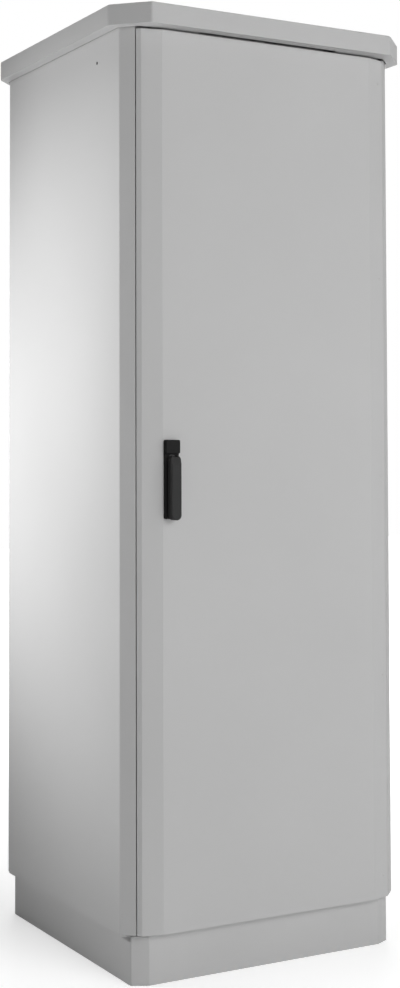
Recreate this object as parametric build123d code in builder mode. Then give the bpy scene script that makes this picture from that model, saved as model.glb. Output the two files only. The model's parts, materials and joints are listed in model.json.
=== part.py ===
from build123d import *
import os
from math import hypot, radians, sqrt, tan

# Roadside cabinet in folded sheet: plinth, frame, panels, rain canopy, one full-height door on five
# concealed lift-off hinges, and a lever handle that drives two locking rods.
# Millimetres. X runs to the right, Y to the back, Z up. The origin is on the floor, in the middle.
# In plan, "inset" is measured inwards from a side plane and "setback" backwards from the front plane.

# Overall sizes of the body, outside its panels
body_width = 600
body_depth = 600
body_height = 1647
plinth_height = 88
plinth_gap = 4

# Folded corners in plan: a 45 degree facet, and at the front a flatter bevel beside it
facet_leg = 41
bend_inset = 30
bevel_inset = 68
seam_inset = 22.4
seam_gap = 2
bend_radius = 4

# Sheets and clearances
panel_sheet = 1.5
door_sheet = 2
frame_sheet = 1.5
plinth_sheet = 2.5
roof_sheet = 1.5
fit_gap = 0.3
rear_joint = 0.8
running_gap = 0.05
overrun = 5

# Plinth
plinth_inset = 18
plinth_facet_width = 30
plinth_facet_depth = 15
plinth_joint_gap = 0.05
plinth_arm = 110
plinth_flange = 30
floor_bolt_inset = 45
floor_bolt_hole_radius = 7
body_bolt_inset = 100
body_bolt_setback = 46
body_bolt_radius = 5
body_bolt_head_radius = 8
body_bolt_head_height = 6
body_bolt_nut_height = 8

# Frame
lip_inset = 56
web_setback = 36
upright_reach = 75
bottom_lip_rise = 54
top_lip_drop = 53
frame_rise = 12
panel_rise = 10
rail_flange = 54
base_rail_height = 40
top_rail_height = 75

# Floor plates and the slot that cables come up through
gland_sheet = 2
gland_side_inset = 12
gland_end_setback = 39
cable_slot = 60
access_hole_radius = 12

# Depth rails, mounting plate and its brackets
depth_rail_inset = 43
depth_rail_width = 13
depth_rail_height = 40
lower_rail_rise = 210
upper_rail_drop = 259
rail_slot_length = 26
rail_slot_height = 9
rail_slot_pitch = 50
rail_slot_margin = 60
mounting_plate_side_gap = 9
mounting_plate_rise = 95
mounting_plate_drop = 104
mounting_plate_from_rear = 100
mounting_plate_sheet = 2.5
mounting_plate_fold = 15
bracket_sheet = 2
bracket_arm = 30
bracket_lap = 19
bracket_height = 36

# Rain canopy
roof_gap = 4
roof_overhang = 26
roof_rear_overhang = 8
roof_chamfer = 60
roof_round = 10
roof_edge_round = 4
skirt_height = 39
crown_inset = 130
crown_rise = 8
crown_slope_run = 60
flange_gap = 2.5
front_flange_lap = 10
notch_length = 305
notch_depth = 12
roof_bolt_inset = 84
roof_bolt_radius = 4
roof_bolt_hole_radius = 4.5
roof_bolt_head_radius = 9
roof_bolt_head_height = 5
roof_washer_radius = 13
roof_washer_height = 2
spacer_radius = 12

# Panel screws
screw_hole_radius = 2.5
screw_shank_radius = 2.4
screw_length = 9
screw_head_radius = 3
screw_head_height = 1.2
side_screw_setback = 134
side_screw_drop = 43
rear_screw_inset = 58

# Hinges
hinge_count = 5
hinge_bottom_rise = 42
hinge_top_drop = 48
hinge_lap = 5
hinge_depth = 5.8
hinge_sheet = 3
knuckle_radius = 3.5
pin_radius = 2
pin_head_height = 2
arm_height = 26
leaf_height = 18
pad_near_inset = 37
pad_far_inset = 49
arm_bend = 3
leaf_reach = 9
leaf_foot = 13
hinge_screw_inset = 42
hinge_screw_head_radius = 3.1
hinge_screw_sink_radius = 3.2
hinge_screw_radius = 1.5
hinge_screw_hole_radius = 1.6
hinge_screw_socket_radius = 1.3
hinge_screw_socket_depth = 1

# Door seal and stiffeners
seal_width = 8
seal_depth = 10.3
seal_bed = 0.1
seal_round = 3
stiffener_insets = (150, 150)
stiffener_width = 20
stiffener_flange = 12
stiffener_depth = 14
stiffener_sheet = 1.5
stiffener_end_gap = 14
stiffener_slot_width = 8
stiffener_slot_height = 18
stiffener_slot_pitch = 110
stiffener_slot_margin = 40

# Handle: dish, hub, lever and pin. "Proud" is measured forwards from the door's face.
handle_inset = 84
handle_rise = 855
dish_width = 29
dish_above_axis = 36
dish_below_axis = 108
dish_proud = 5
dish_corner = 3
dish_edge = 1
block_above_axis = 11
block_proud = 11
dish_screw_above_axis = 24
dish_screw_below_axis = 92
dish_screw_radius = 2.4
dish_screw_hole_radius = 2.5
dish_screw_head_radius = 4.5
dish_screw_head_height = 3
hub_radius = 9
hub_hole_radius = 9.3
hub_setback = 5
tongue_width = 7
tongue_radius = 6
lever_width = 19
lever_length = 110
lever_proud = 25
lever_back_proud = 8
lever_pin_proud = 14
lever_pin_radius = 2
lever_top_radius = 8
lever_shoulder = 9
lever_slot_gap = 0.5
lever_edge = 1.2

# Lock cam and rods. The cam's two pins stand at 45 degrees to the rods.
spindle_width = 8
spindle_gap = 0.1
cam_radius = 18
cam_sheet = 3
cam_setback = 7
cam_pin_radius = 3
cam_pin_orbit = 13
cam_screw_radius = 2.4
cam_screw_head_radius = 6
cam_screw_head_height = 2.5
cam_screw_length = 6
rod_setback = 13
rod_sheet = 4
rod_side_gap = 6.6
rod_width = 14
rod_tail = 9
rod_slot_gap = 0.7
rod_tip_width = 9
rod_tip_length = 45
rod_tip_gap = 10

# Rod guides and keepers
guide_gap = 0.4
guide_wall = 1.8
guide_foot = 12
guide_floor = 2
guide_roof = 2.6
guide_height = 14
guide_heights_share = (0.22, 0.55, 0.88)
keeper_sheet = 2.5
keeper_side_gap = 0.6
keeper_height = 25
keeper_front_setback = 14.5
keeper_back_setback = 20

# Planes and levels that follow from the sizes above
half_width = body_width / 2
half_depth = body_depth / 2
body_bottom = plinth_height + plinth_gap
body_top = body_bottom + body_height
frame_top = body_top + frame_rise
panel_top = frame_top + panel_rise
bottom_lip = plinth_height + bottom_lip_rise
top_lip = frame_top - top_lip_drop
lip_setback = door_sheet + seal_depth + fit_gap
roof_bottom = body_top + roof_gap
roof_top = roof_bottom + skirt_height
top_plate_top = frame_top + frame_sheet
floor_top = plinth_height + frame_sheet
bend_setback = facet_leg - bend_inset
diagonal = sqrt(2)
facet_turn = tan(radians(45 / 2))
skin_gap = panel_sheet + fit_gap
frame_facet = facet_leg + skin_gap * facet_turn

# Plan points of the seam on the corner facet: the door's edge and the side panel's edge
seam_half = seam_gap / 2 / diagonal
door_edge = (seam_inset + seam_half, facet_leg - seam_inset - seam_half)
panel_edge = (seam_inset - seam_half, facet_leg - seam_inset + seam_half)

# Plan point of the hinge axis, just inside the door's facet
hinge_axis = (
    door_edge[0] + (hinge_lap + hinge_depth) / diagonal,
    door_edge[1] - (hinge_lap - hinge_depth) / diagonal,
)
hinge_span = body_height - hinge_bottom_rise - hinge_top_drop
hinge_levels = [
    body_bottom + hinge_bottom_rise + hinge_span * i / (hinge_count - 1) for i in range(hinge_count)
]

# Handle axis
handle_x = handle_inset - half_width
handle_z = body_bottom + handle_rise

FRONT = (0, -1, 0)
REAR = (0, 1, 0)
LEFT = (-1, 0, 0)
RIGHT = (1, 0, 0)
SIDES = {"left": -1, "right": 1}
pieces = {}


def plan(side, inset, setback):
    """Plan point measured from the left (-1) or right (1) side plane and from the front plane."""
    return (side * (half_width - inset), setback - half_depth)


def rear_plan(side, inset, from_rear):
    """Plan point measured from a side plane and from the rear plane."""
    return (side * (half_width - inset), half_depth - from_rear)


def facing(direction, along=0):
    """Upright plane whose X axis runs outwards along direction and whose Y axis runs up."""
    across = (direction[1], -direction[0], 0)
    return Plane(origin=tuple(along * a for a in across), x_dir=direction, z_dir=across)


def wall_plane(direction, reach, across, level):
    """Plane lying on an outer wall, with its normal pointing outwards."""
    out_x, out_y, _ = direction
    return Plane(origin=(out_x * reach - out_y * across, out_y * reach + out_x * across, level),
                 z_dir=direction)


def bevel_point(inset, depth):
    """Plan point on the door's bevel at an inset from the side, a depth below its outer face."""
    run = bevel_inset - bend_inset
    slope = bend_setback / run
    length = hypot(run, bend_setback)
    setback = (bevel_inset - inset) * slope
    return (inset + depth * bend_setback / length, setback + depth * run / length)


def bevel_plane(level):
    """Plane on the right-hand bevel at a hinge screw, with its normal pointing outwards."""
    face = plan(1, *bevel_point(hinge_screw_inset, 0))
    under = plan(1, *bevel_point(hinge_screw_inset, door_sheet))
    return Plane(origin=(*face, level), z_dir=(face[0] - under[0], face[1] - under[1], 0))


def folded_rail(direction, path, thickness, side, length):
    """Sheet folded along a path of (distance outwards, height) points, running level."""
    with BuildPart() as rail:
        with BuildSketch(facing(direction)):
            with BuildLine():
                Polyline(*path)
                offset(amount=thickness, side=side, kind=Kind.INTERSECTION)
            make_face()
        extrude(amount=length / 2, both=True)
    return rail.part


def folded_post(path, thickness, side, bottom, top):
    """Sheet folded along a path of plan points, standing upright."""
    with BuildPart() as post:
        with BuildSketch(Plane.XY.offset(bottom)):
            with BuildLine():
                Polyline(*path)
                offset(amount=thickness, side=side, kind=Kind.INTERSECTION)
            make_face()
        extrude(amount=top - bottom)
    return post.part


# Plinth corners: a folded wall with a foot plate on the floor and a head plate under the body
plinth_half_width = half_width - plinth_inset
plinth_half_depth = half_depth - plinth_inset


def plinth_corner(side, end):
    def local(inset, setback):
        return (side * (plinth_half_width - inset), end * (plinth_half_depth - setback))

    wall = [local(0, plinth_arm), local(0, plinth_facet_depth), local(plinth_facet_width, 0),
            local(plinth_arm, 0)]
    bolt = local(floor_bolt_inset, floor_bolt_inset)
    body_bolt = local(body_bolt_inset - plinth_inset, body_bolt_setback - plinth_inset)
    with BuildPart() as corner:
        with BuildSketch():
            with BuildLine():
                FilletPolyline(*wall, radius=bend_radius)
                offset(amount=plinth_sheet, side=Side.RIGHT if side * end < 0 else Side.LEFT)
            make_face()
        extrude(amount=plinth_height)
        with BuildSketch(Plane.XY, Plane.XY.offset(plinth_height - plinth_sheet)):
            with BuildLine():
                FilletPolyline(*wall, radius=bend_radius)
                Polyline(wall[-1], local(plinth_arm, plinth_arm), wall[0])
            make_face()
        extrude(amount=plinth_sheet)
        with BuildSketch():
            with Locations(bolt):
                Circle(floor_bolt_hole_radius)
        extrude(amount=plinth_height, mode=Mode.SUBTRACT)
        with BuildSketch(Plane.XY.offset(plinth_height)):
            with Locations(body_bolt):
                Circle(body_bolt_radius + fit_gap)
        extrude(amount=-plinth_sheet, mode=Mode.SUBTRACT)
    return corner.part


for side_name, side in SIDES.items():
    pieces[f"plinth_corner_front_{side_name}"] = plinth_corner(side, -1)
    pieces[f"plinth_corner_rear_{side_name}"] = plinth_corner(side, 1)

# Plinth panels between the corners, flanged top and bottom
for panel_name, direction, reach, span in (
    ("front", FRONT, plinth_half_depth, plinth_half_width),
    ("rear", REAR, plinth_half_depth, plinth_half_width),
    ("left", LEFT, plinth_half_width, plinth_half_depth),
    ("right", RIGHT, plinth_half_width, plinth_half_depth),
):
    pieces[f"plinth_panel_{panel_name}"] = folded_rail(
        direction,
        [(reach - plinth_flange, 0), (reach, 0),
         (reach, plinth_height), (reach - plinth_flange, plinth_height)],
        plinth_sheet,
        Side.LEFT,
        2 * (span - plinth_arm - plinth_joint_gap),
    )

# Frame rails: the front pair carry the sealing lip, the others stand inside the panels
front_reach = half_depth - web_setback
lip_reach = half_depth - lip_setback
front_rail_length = body_width - 2 * (lip_inset + frame_sheet + fit_gap)
across_length = body_width - 2 * (upright_reach + fit_gap)
depth_length = body_depth - 2 * (upright_reach + fit_gap)


def bored(rail, bolts, radius):
    """Rail with bolt holes through its level flange."""
    with BuildPart() as bored_rail:
        add(rail)
        with BuildSketch(Plane.XY.offset(plinth_height)):
            with Locations(*bolts):
                Circle(radius)
        extrude(amount=base_rail_height, both=True, mode=Mode.SUBTRACT)
    return bored_rail.part


front_bolts = [plan(side, body_bolt_inset, body_bolt_setback) for side in SIDES.values()]
rear_bolts = [rear_plan(side, body_bolt_inset, body_bolt_setback) for side in SIDES.values()]

pieces["base_rail_front"] = bored(folded_rail(
    FRONT,
    [(lip_reach, bottom_lip), (front_reach, bottom_lip), (front_reach, plinth_height),
     (front_reach - rail_flange, plinth_height)],
    frame_sheet, Side.RIGHT, front_rail_length,
), front_bolts, body_bolt_radius + fit_gap)
pieces["top_rail_front"] = folded_rail(
    FRONT,
    [(lip_reach, top_lip), (front_reach, top_lip), (front_reach, frame_top),
     (front_reach - rail_flange, frame_top)],
    frame_sheet, Side.LEFT, front_rail_length,
)


def base_rail(direction, reach, length):
    path = [(reach, plinth_height + base_rail_height), (reach, plinth_height),
            (reach - rail_flange, plinth_height)]
    return folded_rail(direction, path, frame_sheet, Side.RIGHT, length)


def top_rail(direction, reach, length):
    path = [(reach, frame_top - top_rail_height), (reach, frame_top), (reach - rail_flange, frame_top)]
    return folded_rail(direction, path, frame_sheet, Side.LEFT, length)


side_reach = half_width - skin_gap
rear_reach = half_depth - skin_gap
pieces["base_rail_rear"] = bored(base_rail(REAR, rear_reach, across_length), rear_bolts,
                                 body_bolt_radius + fit_gap)
pieces["base_rail_left"] = base_rail(LEFT, side_reach, depth_length)
pieces["base_rail_right"] = base_rail(RIGHT, side_reach, depth_length)
pieces["top_rail_rear"] = top_rail(REAR, rear_reach, across_length)

# Side rails at the top take the screw that shows near the front of each side panel
side_screw_level = body_top - side_screw_drop
side_screw_y = side_screw_setback - half_depth
for rail_name, direction in (("left", LEFT), ("right", RIGHT)):
    with BuildPart() as side_top_rail:
        add(top_rail(direction, side_reach, depth_length))
        with Locations(wall_plane(direction, half_width, direction[0] * side_screw_y, side_screw_level)):
            Hole(radius=screw_hole_radius, depth=screw_length)
    pieces[f"top_rail_{rail_name}"] = side_top_rail.part

# Front uprights: web behind the door's edge, a flange along the side panel and a sealing lip
for side_name, side in SIDES.items():
    inner = Side.LEFT if side > 0 else Side.RIGHT
    with BuildPart() as front_upright:
        add(folded_post(
            [plan(side, lip_inset + frame_sheet, web_setback),
             plan(side, skin_gap + (frame_facet - web_setback), web_setback),
             plan(side, skin_gap, frame_facet),
             plan(side, skin_gap, upright_reach)],
            frame_sheet, inner, plinth_height, frame_top,
        ))
        with BuildSketch(Plane.XY.offset(bottom_lip)):
            with BuildLine():
                Polyline(
                    plan(side, lip_inset, lip_setback),
                    plan(side, lip_inset + frame_sheet, lip_setback),
                    plan(side, lip_inset + frame_sheet, web_setback),
                    plan(side, lip_inset, web_setback),
                    close=True,
                )
            make_face()
        extrude(amount=top_lip - bottom_lip)
    pieces[f"front_upright_{side_name}"] = front_upright.part

# Rear uprights: folded to the inside of the rear facet, drilled for the rear panel's screws
for side_name, side in SIDES.items():
    with BuildPart() as rear_upright:
        add(folded_post(
            [rear_plan(side, skin_gap, upright_reach), rear_plan(side, skin_gap, frame_facet),
             rear_plan(side, frame_facet, skin_gap), rear_plan(side, upright_reach, skin_gap)],
            frame_sheet, Side.LEFT if side > 0 else Side.RIGHT, plinth_height, frame_top,
        ))
        with Locations(*[wall_plane(REAR, half_depth, side * (rear_screw_inset - half_width), level)
                         for level in hinge_levels]):
            Hole(radius=screw_hole_radius, depth=screw_length)
    pieces[f"rear_upright_{side_name}"] = rear_upright.part

# Top plate over the frame, inside the panels
roof_bolts = [plan(side, roof_bolt_inset, roof_bolt_inset) for side in SIDES.values()]
roof_bolts += [rear_plan(side, roof_bolt_inset, roof_bolt_inset) for side in SIDES.values()]
front_corner = skin_gap + (frame_facet - web_setback)
with BuildPart() as top_plate:
    with BuildSketch(Plane.XY.offset(frame_top)):
        with BuildLine():
            Polyline(
                plan(-1, front_corner, web_setback), plan(1, front_corner, web_setback),
                plan(1, skin_gap, frame_facet), rear_plan(1, skin_gap, frame_facet),
                rear_plan(1, frame_facet, skin_gap), rear_plan(-1, frame_facet, skin_gap),
                rear_plan(-1, skin_gap, frame_facet), plan(-1, skin_gap, frame_facet),
                close=True,
            )
        make_face()
        with Locations(*roof_bolts):
            Circle(roof_bolt_hole_radius, mode=Mode.SUBTRACT)
    extrude(amount=frame_sheet)
pieces["top_plate"] = top_plate.part

# Side panels: one sheet from the door's seam round to the rear facet
for side_name, side in SIDES.items():
    wall = RIGHT if side > 0 else LEFT
    with BuildPart() as side_panel:
        with BuildSketch(Plane.XY.offset(body_bottom)):
            with BuildLine():
                FilletPolyline(
                    plan(side, *panel_edge), plan(side, 0, facet_leg), rear_plan(side, 0, facet_leg),
                    rear_plan(side, facet_leg - rear_joint, rear_joint),
                    radius=bend_radius,
                )
                offset(amount=panel_sheet, side=Side.LEFT if side > 0 else Side.RIGHT)
            make_face()
        extrude(amount=panel_top - body_bottom)
        with Locations(wall_plane(wall, half_width, wall[0] * side_screw_y, side_screw_level)):
            Hole(radius=screw_hole_radius, depth=screw_length)
    pieces[f"side_panel_{side_name}"] = side_panel.part

# Rear panel between the two rear facets
with BuildPart() as rear_panel:
    with BuildSketch(Plane.XY.offset(body_bottom)):
        with BuildLine():
            Polyline(
                rear_plan(-1, facet_leg + fit_gap, 0), rear_plan(1, facet_leg + fit_gap, 0),
                rear_plan(1, facet_leg + fit_gap, panel_sheet),
                rear_plan(-1, facet_leg + fit_gap, panel_sheet),
                close=True,
            )
        make_face()
    extrude(amount=panel_top - body_bottom)
    with Locations(*[wall_plane(REAR, half_depth, side * (rear_screw_inset - half_width), level)
                     for side in SIDES.values() for level in hinge_levels]):
        Hole(radius=screw_hole_radius, depth=screw_length)
pieces["rear_panel"] = rear_panel.part

# Screws of the side and rear panels
screw_places = [wall_plane(wall, half_width, wall[0] * side_screw_y, side_screw_level)
                for wall in (LEFT, RIGHT)]
screw_places += [wall_plane(REAR, half_depth, side * (rear_screw_inset - half_width), level)
                 for side in SIDES.values() for level in hinge_levels]
with BuildPart() as panel_screws:
    with Locations(*screw_places):
        Cylinder(screw_head_radius, screw_head_height, align=(Align.CENTER, Align.CENTER, Align.MIN))
        Cylinder(screw_shank_radius, screw_length, align=(Align.CENTER, Align.CENTER, Align.MAX))
pieces["panel_screws"] = panel_screws.part

# Bolts that hold the body to the plinth, with their nuts under the head plates
with BuildPart() as body_bolts:
    for bolt in front_bolts + rear_bolts:
        with BuildSketch(Plane.XY.offset(floor_top)):
            with Locations(bolt):
                RegularPolygon(body_bolt_head_radius, 6)
        extrude(amount=body_bolt_head_height)
        with BuildSketch(Plane.XY.offset(floor_top)):
            with Locations(bolt):
                Circle(body_bolt_radius)
        extrude(amount=-(frame_sheet + plinth_sheet + body_bolt_nut_height + fit_gap))
        with BuildSketch(Plane.XY.offset(plinth_height - plinth_sheet)):
            with Locations(bolt):
                RegularPolygon(body_bolt_head_radius, 6)
        extrude(amount=-body_bolt_nut_height)
pieces["body_bolts"] = body_bolts.part

# Floor plates on the base rails, with a slot for cables between them
gland_front_edge = gland_end_setback - half_depth
slot_half = cable_slot / 2
gland_depth = -slot_half - gland_front_edge
gland_middle = (gland_front_edge - slot_half) / 2
for plate_name, end, bolts in (("front", 1, front_bolts), ("rear", -1, rear_bolts)):
    with BuildPart() as gland_plate:
        with BuildSketch(Plane.XY.offset(floor_top)):
            with Locations((0, end * gland_middle)):
                Rectangle(body_width - 2 * gland_side_inset, gland_depth)
            with Locations(*bolts):
                Circle(access_hole_radius, mode=Mode.SUBTRACT)
        extrude(amount=gland_sheet)
    pieces[f"gland_plate_{plate_name}"] = gland_plate.part

# Depth rails between the front and rear uprights, punched with a row of slots
depth_rail_front = web_setback + frame_sheet - half_depth
depth_rail_rear = half_depth - skin_gap - frame_sheet
rail_middle = (depth_rail_front + depth_rail_rear) / 2
rail_slot_span = depth_rail_rear - depth_rail_front - 2 * rail_slot_margin - rail_slot_length
rail_slot_count = int(rail_slot_span // rail_slot_pitch) + 1
depth_rail_outer = half_width - depth_rail_inset
depth_rail_inner = depth_rail_outer - depth_rail_width
depth_rail_levels = (body_bottom + lower_rail_rise, body_top - upper_rail_drop)
for level_name, level in zip(("lower", "upper"), depth_rail_levels):
    for side_name, direction in (("left", LEFT), ("right", RIGHT)):
        with BuildPart() as depth_rail:
            with BuildSketch(facing(direction, -direction[0] * rail_middle)):
                with BuildLine():
                    Polyline(
                        (depth_rail_outer, level + depth_rail_height / 2),
                        (depth_rail_inner, level + depth_rail_height / 2),
                        (depth_rail_inner, level - depth_rail_height / 2),
                        (depth_rail_outer, level - depth_rail_height / 2),
                    )
                    offset(amount=frame_sheet, side=Side.LEFT, kind=Kind.INTERSECTION)
                make_face()
            extrude(amount=(depth_rail_rear - depth_rail_front) / 2, both=True)
            with BuildSketch(Plane.YZ.offset(direction[0] * depth_rail_inner)):
                with Locations((rail_middle, level)):
                    with GridLocations(rail_slot_pitch, 0, rail_slot_count, 1):
                        Rectangle(rail_slot_length, rail_slot_height)
            extrude(amount=frame_sheet, both=True, mode=Mode.SUBTRACT)
        pieces[f"depth_rail_{level_name}_{side_name}"] = depth_rail.part

# Mounting plate with folded edges, on four brackets from the depth rails
plate_y = half_depth - mounting_plate_from_rear
plate_half = depth_rail_inner - mounting_plate_side_gap
plate_bottom = body_bottom + mounting_plate_rise
plate_top = body_top - mounting_plate_drop
pieces["mounting_plate"] = folded_post(
    [(-plate_half, plate_y + mounting_plate_fold), (-plate_half, plate_y), (plate_half, plate_y),
     (plate_half, plate_y + mounting_plate_fold)],
    mounting_plate_sheet, Side.LEFT, plate_bottom, plate_top,
)
with BuildPart() as plate_brackets:
    bracket_back = plate_y + mounting_plate_fold
    bracket_end = plate_half - bracket_lap
    for level in depth_rail_levels:
        for side in SIDES.values():
            with BuildSketch(Plane.XY.offset(level - bracket_height / 2)):
                with BuildLine():
                    Polyline(
                        (side * depth_rail_inner, bracket_back + bracket_arm),
                        (side * depth_rail_inner, bracket_back),
                        (side * bracket_end, bracket_back),
                    )
                    offset(amount=bracket_sheet, side=Side.RIGHT if side > 0 else Side.LEFT,
                           kind=Kind.INTERSECTION)
                make_face()
            extrude(amount=bracket_height)
pieces["plate_brackets"] = plate_brackets.part

# Rain canopy: a shell with faceted corners and a crowned top. Its bottom flange turns in to the panels,
# laps over the door's top and is cut back over the middle of the door for air.
roof_width = body_width + 2 * roof_overhang
roof_depth = body_depth + roof_overhang + roof_rear_overhang
roof_middle = (roof_rear_overhang - roof_overhang) / 2


def roof_outline():
    """Outline of the canopy in plan, drawn into the sketch that is open."""
    with Locations((0, roof_middle)):
        outline = Rectangle(roof_width, roof_depth)
    corners = chamfer(outline.vertices(), length=roof_chamfer)
    fillet(corners.vertices(), radius=roof_round)


with BuildPart() as roof_canopy:
    with BuildSketch(Plane.XY.offset(roof_bottom)):
        roof_outline()
    extrude(amount=skirt_height)
    fillet(roof_canopy.faces().sort_by(Axis.Z)[-1].edges(), radius=roof_edge_round)
    with BuildSketch(Plane.XY.offset(roof_top)):
        Rectangle(body_width - 2 * crown_inset, body_depth - 2 * crown_inset)
    with BuildSketch(Plane.XY.offset(roof_top + crown_rise)):
        Rectangle(body_width - 2 * (crown_inset + crown_slope_run),
                  body_depth - 2 * (crown_inset + crown_slope_run))
    loft()
    offset(amount=-roof_sheet, openings=roof_canopy.faces().sort_by(Axis.Z)[0])
    with BuildSketch(Plane.XY.offset(roof_bottom)) as flange:
        roof_outline()
        with BuildLine():
            chamfer_reach = facet_leg - flange_gap * facet_turn
            front_reach = chamfer_reach - flange_gap - front_flange_lap
            Polyline(
                plan(-1, front_reach, front_flange_lap), plan(1, front_reach, front_flange_lap),
                plan(1, -flange_gap, chamfer_reach), rear_plan(1, -flange_gap, chamfer_reach),
                rear_plan(1, chamfer_reach, -flange_gap), rear_plan(-1, chamfer_reach, -flange_gap),
                rear_plan(-1, -flange_gap, chamfer_reach), plan(-1, -flange_gap, chamfer_reach),
                close=True,
            )
        make_face(mode=Mode.SUBTRACT)
        with Locations((0, front_flange_lap - half_depth)):
            Rectangle(notch_length, 2 * notch_depth, mode=Mode.SUBTRACT)
    extrude(amount=roof_sheet)
    with Locations(*[(*bolt, roof_top) for bolt in roof_bolts]):
        Hole(radius=roof_bolt_hole_radius, depth=skirt_height / 2)
pieces["roof_canopy"] = roof_canopy.part

# Spacers between the top plate and the canopy, and the bolts through them with sealing washers
with BuildPart() as roof_spacers:
    with BuildSketch(Plane.XY.offset(top_plate_top)):
        with Locations(*roof_bolts):
            Circle(spacer_radius)
            Circle(roof_bolt_hole_radius, mode=Mode.SUBTRACT)
    extrude(amount=roof_top - roof_sheet - top_plate_top)
pieces["roof_spacers"] = roof_spacers.part

with BuildPart() as roof_bolt_set:
    with Locations(*[(*bolt, roof_top) for bolt in roof_bolts]):
        Cylinder(roof_washer_radius, roof_washer_height, align=(Align.CENTER, Align.CENTER, Align.MIN))
        Cylinder(roof_bolt_radius, roof_top - frame_top, align=(Align.CENTER, Align.CENTER, Align.MAX))
    with BuildSketch(Plane.XY.offset(roof_top + roof_washer_height)):
        with Locations(*roof_bolts):
            RegularPolygon(roof_bolt_head_radius, 6)
    extrude(amount=roof_bolt_head_height)
pieces["roof_bolts"] = roof_bolt_set.part

# Door: one tray folded to the corner profile, open at the back
door_outline = [
    plan(-1, *door_edge), plan(-1, bend_inset, bend_setback), plan(-1, bevel_inset, 0),
    plan(1, bevel_inset, 0), plan(1, bend_inset, bend_setback), plan(1, *door_edge),
]
dish_screws = [(handle_x, handle_z + dish_screw_above_axis), (handle_x, handle_z - dish_screw_below_axis)]
door_face = Plane.XZ.offset(half_depth)
with BuildPart() as door_panel:
    with BuildSketch(Plane.XY.offset(body_bottom)):
        with BuildLine():
            Polyline(*door_outline, close=True)
        make_face()
    extrude(amount=body_height)
    front_bends = door_panel.edges().filter_by(Axis.Z).sort_by(Axis.Y)[:4]
    fillet(front_bends, radius=bend_radius)
    offset(amount=-door_sheet, openings=door_panel.faces().sort_by(Axis.Y)[-1])
    with BuildSketch(door_face):
        with Locations((handle_x, handle_z)):
            Circle(hub_hole_radius)
        with Locations(*dish_screws):
            Circle(dish_screw_hole_radius)
    extrude(amount=door_sheet, both=True, mode=Mode.SUBTRACT)
    with Locations(*[bevel_plane(level) for level in hinge_levels]):
        CounterSinkHole(radius=hinge_screw_hole_radius, counter_sink_radius=hinge_screw_sink_radius,
                        depth=door_sheet + overrun, counter_sink_angle=90)
pieces["door_panel"] = door_panel.part

# Door seal: a foam ring on the door's inside, opposite the frame's lip
seal_middle = (bottom_lip + top_lip) / 2
seal_ring_width = body_width - 2 * lip_inset - frame_sheet
seal_ring_height = top_lip - bottom_lip - frame_sheet
with BuildPart() as door_seal:
    with BuildSketch(door_face):
        with Locations((0, seal_middle)):
            Rectangle(seal_ring_width + seal_width, seal_ring_height + seal_width)
            Rectangle(seal_ring_width - seal_width, seal_ring_height - seal_width, mode=Mode.SUBTRACT)
    extrude(amount=-(door_sheet + seal_depth))
    with BuildSketch(Plane.XY.offset(body_bottom)):
        with BuildLine():
            Polyline(*door_outline, close=True)
        make_face()
        offset(amount=-(door_sheet + seal_bed), kind=Kind.INTERSECTION, mode=Mode.REPLACE)
    extrude(amount=body_height, mode=Mode.INTERSECT)
    fillet(door_seal.faces().sort_by(Axis.Y)[-1].edges(), radius=seal_round)
pieces["door_seal"] = door_seal.part

# Door stiffeners: hat sections on the inside of the door, punched with slots
stiffener_bottom = bottom_lip + stiffener_end_gap
stiffener_top = top_lip - stiffener_end_gap
stiffener_middle = (stiffener_bottom + stiffener_top) / 2
stiffener_slot_span = stiffener_top - stiffener_bottom - 2 * stiffener_slot_margin - stiffener_slot_height
stiffener_slot_count = int(stiffener_slot_span // stiffener_slot_pitch) + 1
for (side_name, side), inset in zip(SIDES.items(), stiffener_insets):
    centre = side * (half_width - inset)
    half_hat = stiffener_width / 2
    skin = door_sheet - half_depth
    crest = skin + stiffener_depth
    with BuildPart() as stiffener:
        add(folded_post(
            [(centre - half_hat - stiffener_flange, skin), (centre - half_hat, skin),
             (centre - half_hat, crest), (centre + half_hat, crest),
             (centre + half_hat, skin), (centre + half_hat + stiffener_flange, skin)],
            stiffener_sheet, Side.LEFT, stiffener_bottom, stiffener_top,
        ))
        with BuildSketch(Plane.XZ.offset(-crest)):
            with Locations((centre, stiffener_middle)):
                with GridLocations(0, stiffener_slot_pitch, 1, stiffener_slot_count):
                    Rectangle(stiffener_slot_width, stiffener_slot_height)
        extrude(amount=stiffener_sheet + fit_gap, both=True, mode=Mode.SUBTRACT)
    pieces[f"door_stiffener_{side_name}"] = stiffener.part

# Hinges on the right: leaves on the frame below, arms on the door above, one pin through each pair
arm_bottoms = [level - arm_height / 2 for level in hinge_levels]
leaf_bottoms = [bottom - fit_gap - leaf_height for bottom in arm_bottoms]
pad_depth = door_sheet + hinge_sheet / 2
axis_point = plan(1, *hinge_axis)
with BuildPart() as hinge_arms:
    for bottom in arm_bottoms:
        with BuildSketch(Plane.XY.offset(bottom)):
            with BuildLine():
                FilletPolyline(plan(1, *bevel_point(pad_far_inset, pad_depth)),
                               plan(1, *bevel_point(pad_near_inset, pad_depth)),
                               axis_point, radius=arm_bend)
            trace(line_width=hinge_sheet)
            with Locations(axis_point):
                Circle(knuckle_radius)
                Circle(pin_radius + running_gap, mode=Mode.SUBTRACT)
        extrude(amount=arm_height)
    with Locations(*[bevel_plane(level) for level in hinge_levels]):
        Hole(radius=hinge_screw_hole_radius, depth=door_sheet + hinge_sheet + overrun)
pieces["hinge_arms"] = hinge_arms.part

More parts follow.
